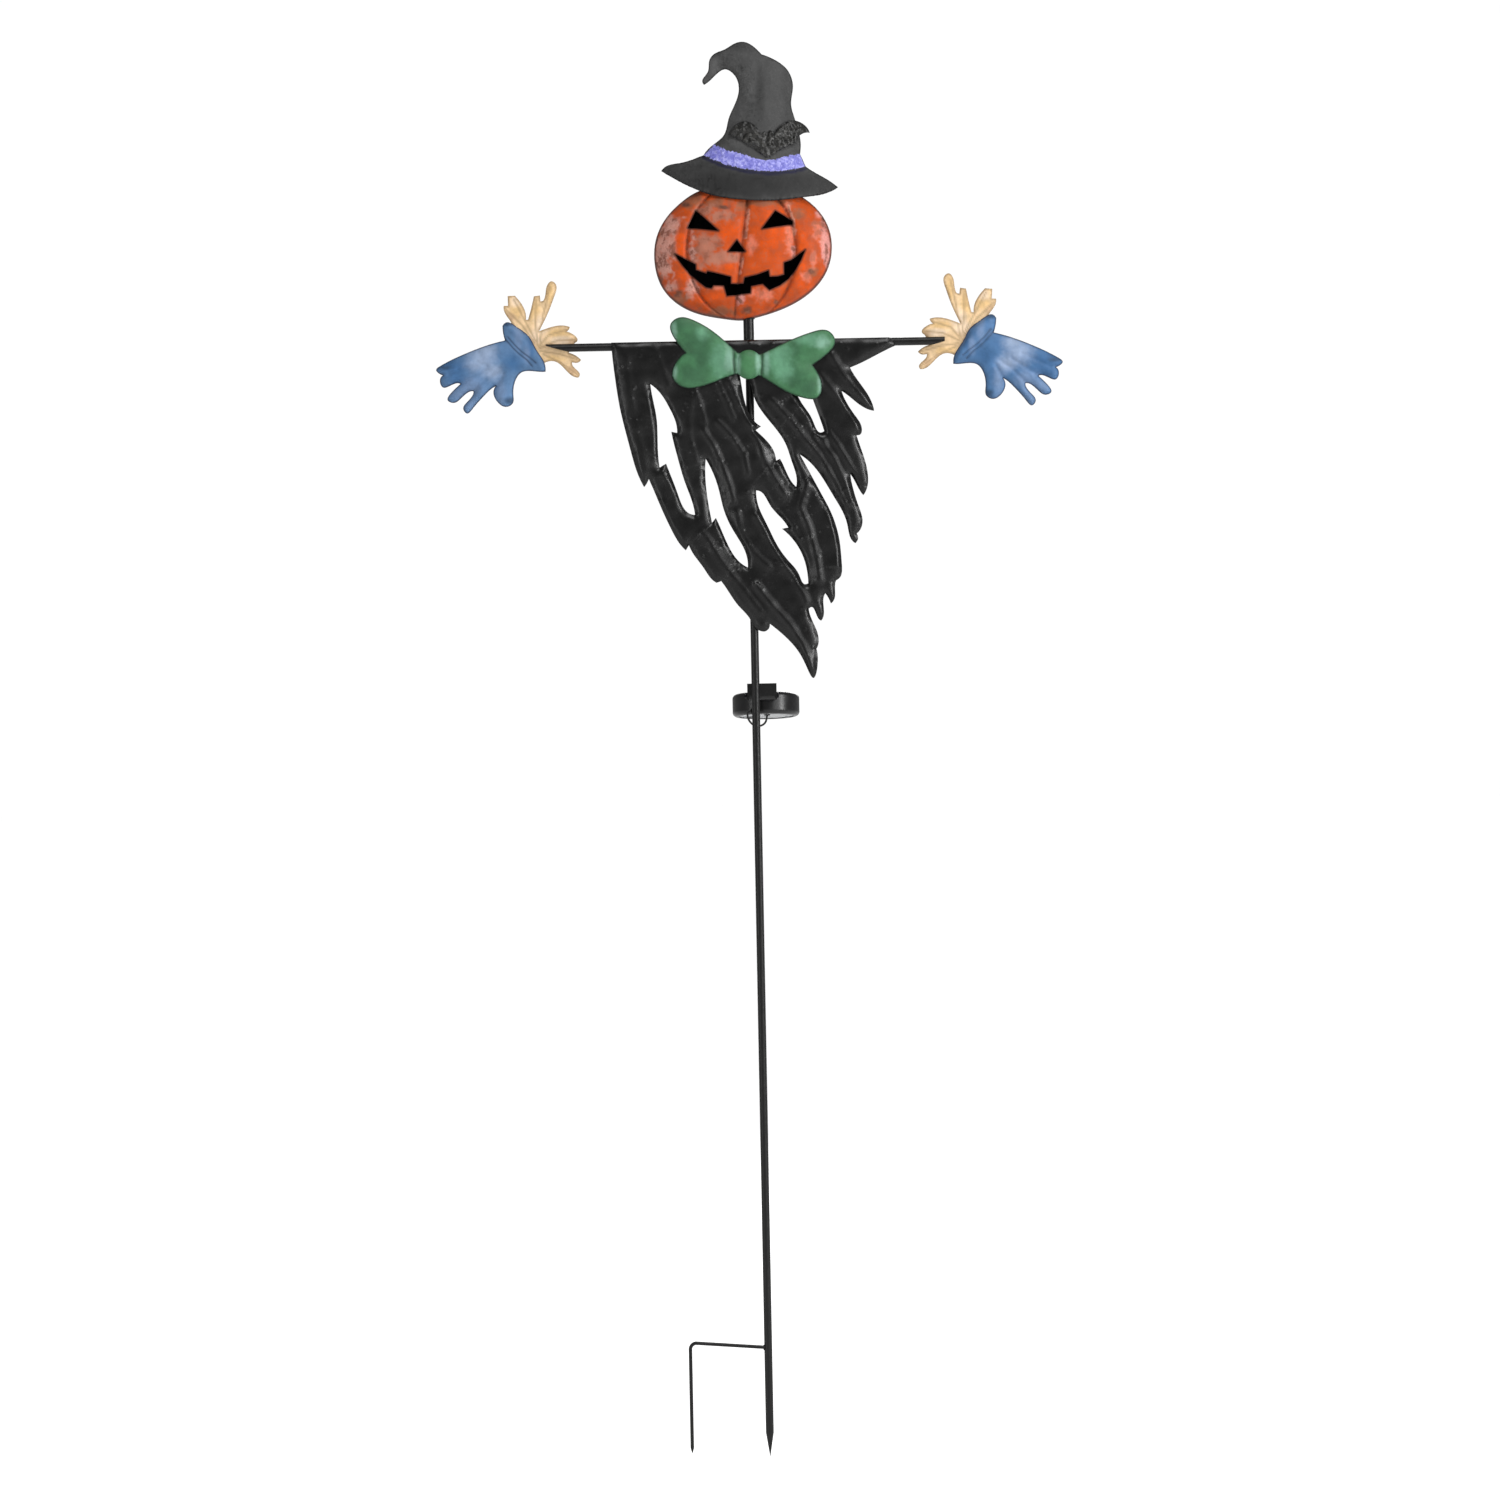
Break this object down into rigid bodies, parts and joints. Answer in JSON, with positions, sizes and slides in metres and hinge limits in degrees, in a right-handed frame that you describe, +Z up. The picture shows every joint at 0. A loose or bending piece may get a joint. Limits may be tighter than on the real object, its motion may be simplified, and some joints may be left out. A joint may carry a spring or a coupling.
{
  "type": "scarecrow figure",
  "caption": "Garden stake scarecrow with a hollow pumpkin head in a crooked hat, tattered sheet cloak, bow tie, stamped hands and a tilting solar unit on a three-piece pole.",
  "frame": {"origin": "on the pole's axis at ground level, where the step bar is welded to the pole", "axes": "+Z up the pole, -Y the way the figure faces, +X the viewer's right"},
  "size_m": [0.626, 0.1155, 1.4151],
  "materials": {
    "black_steel": "satin",
    "plated_steel": "satin",
    "bow_green": "satin",
    "straw_paint": "matte",
    "glove_blue": "satin",
    "pumpkin_orange": "satin",
    "hat_grey": "matte",
    "band_glitter": "glitter",
    "bat_glitter": "glitter",
    "white_plastic": "matte",
    "green_board": "satin",
    "bulb_clear": "clear",
    "puck_black": "semi-gloss",
    "cover_grey": "matte",
    "window_clear": "clear",
    "cell_blue": "gloss",
    "battery_wrap": "gloss",
    "rubber_black": "matte"
  },
  "bodies": {
    "stake": {"lower_pole": "black_steel", "step_fork": "black_steel"},
    "middle_section": {"middle_pole": "black_steel"},
    "figure": {"mast": "black_steel", "crossbar": "black_steel", "neck_tube": "black_steel", "cloak_sheet": "black_steel", "bow_standoff": "black_steel", "solar_bracket": "black_steel", "hinge_screw": "plated_steel", "hinge_nut": "plated_steel", "bow_wings": "bow_green", "bow_knot": "bow_green", "left_straw": "straw_paint", "right_straw": "straw_paint", "left_glove": "glove_blue", "right_glove": "glove_blue", "pumpkin_front_shell": "pumpkin_orange", "pumpkin_back_shell": "pumpkin_orange", "hat_front_shell": "hat_grey", "hat_back_shell": "hat_grey", "hat_straps": "hat_grey", "hat_band": "band_glitter", "bat_badge": "bat_glitter", "led_holder": "white_plastic", "led_board": "green_board", "led_bulbs": "bulb_clear", "mast_grommet": "rubber_black", "lead_loop": "rubber_black", "lead_riser": "rubber_black"},
    "solar_unit": {"solar_housing": "puck_black", "base_cover": "cover_grey", "cover_screws": "plated_steel", "cell_window": "window_clear", "solar_cell": "cell_blue", "circuit_board": "green_board", "battery": "battery_wrap", "battery_contacts": "plated_steel", "lead_gland": "rubber_black"},
    "button": {"power_button": "puck_black"}
  },
  "joints": [
    {"name": "middle_lift_off", "type": "slide", "parent": "stake", "child": "middle_section", "axis": [0, 0, 1], "range_m": [0, 0.04]},
    {"name": "figure_lift_off", "type": "slide", "parent": "middle_section", "child": "figure", "axis": [0, 0, 1], "range_m": [0, 0.04]},
    {"name": "solar_tilt", "type": "hinge", "parent": "figure", "child": "solar_unit", "pos_m": [0, 0.0125, 0.652], "axis": [1, 0, 0], "range_deg": [-30, 45], "deforming": ["lead_loop"]},
    {"name": "button_press", "type": "slide", "parent": "solar_unit", "child": "button", "axis": [0, 0.0872, 0.9962], "range_m": [0, 0.001], "stiffness_N_per_m": 300, "springref_m": -0.001}
  ]
}
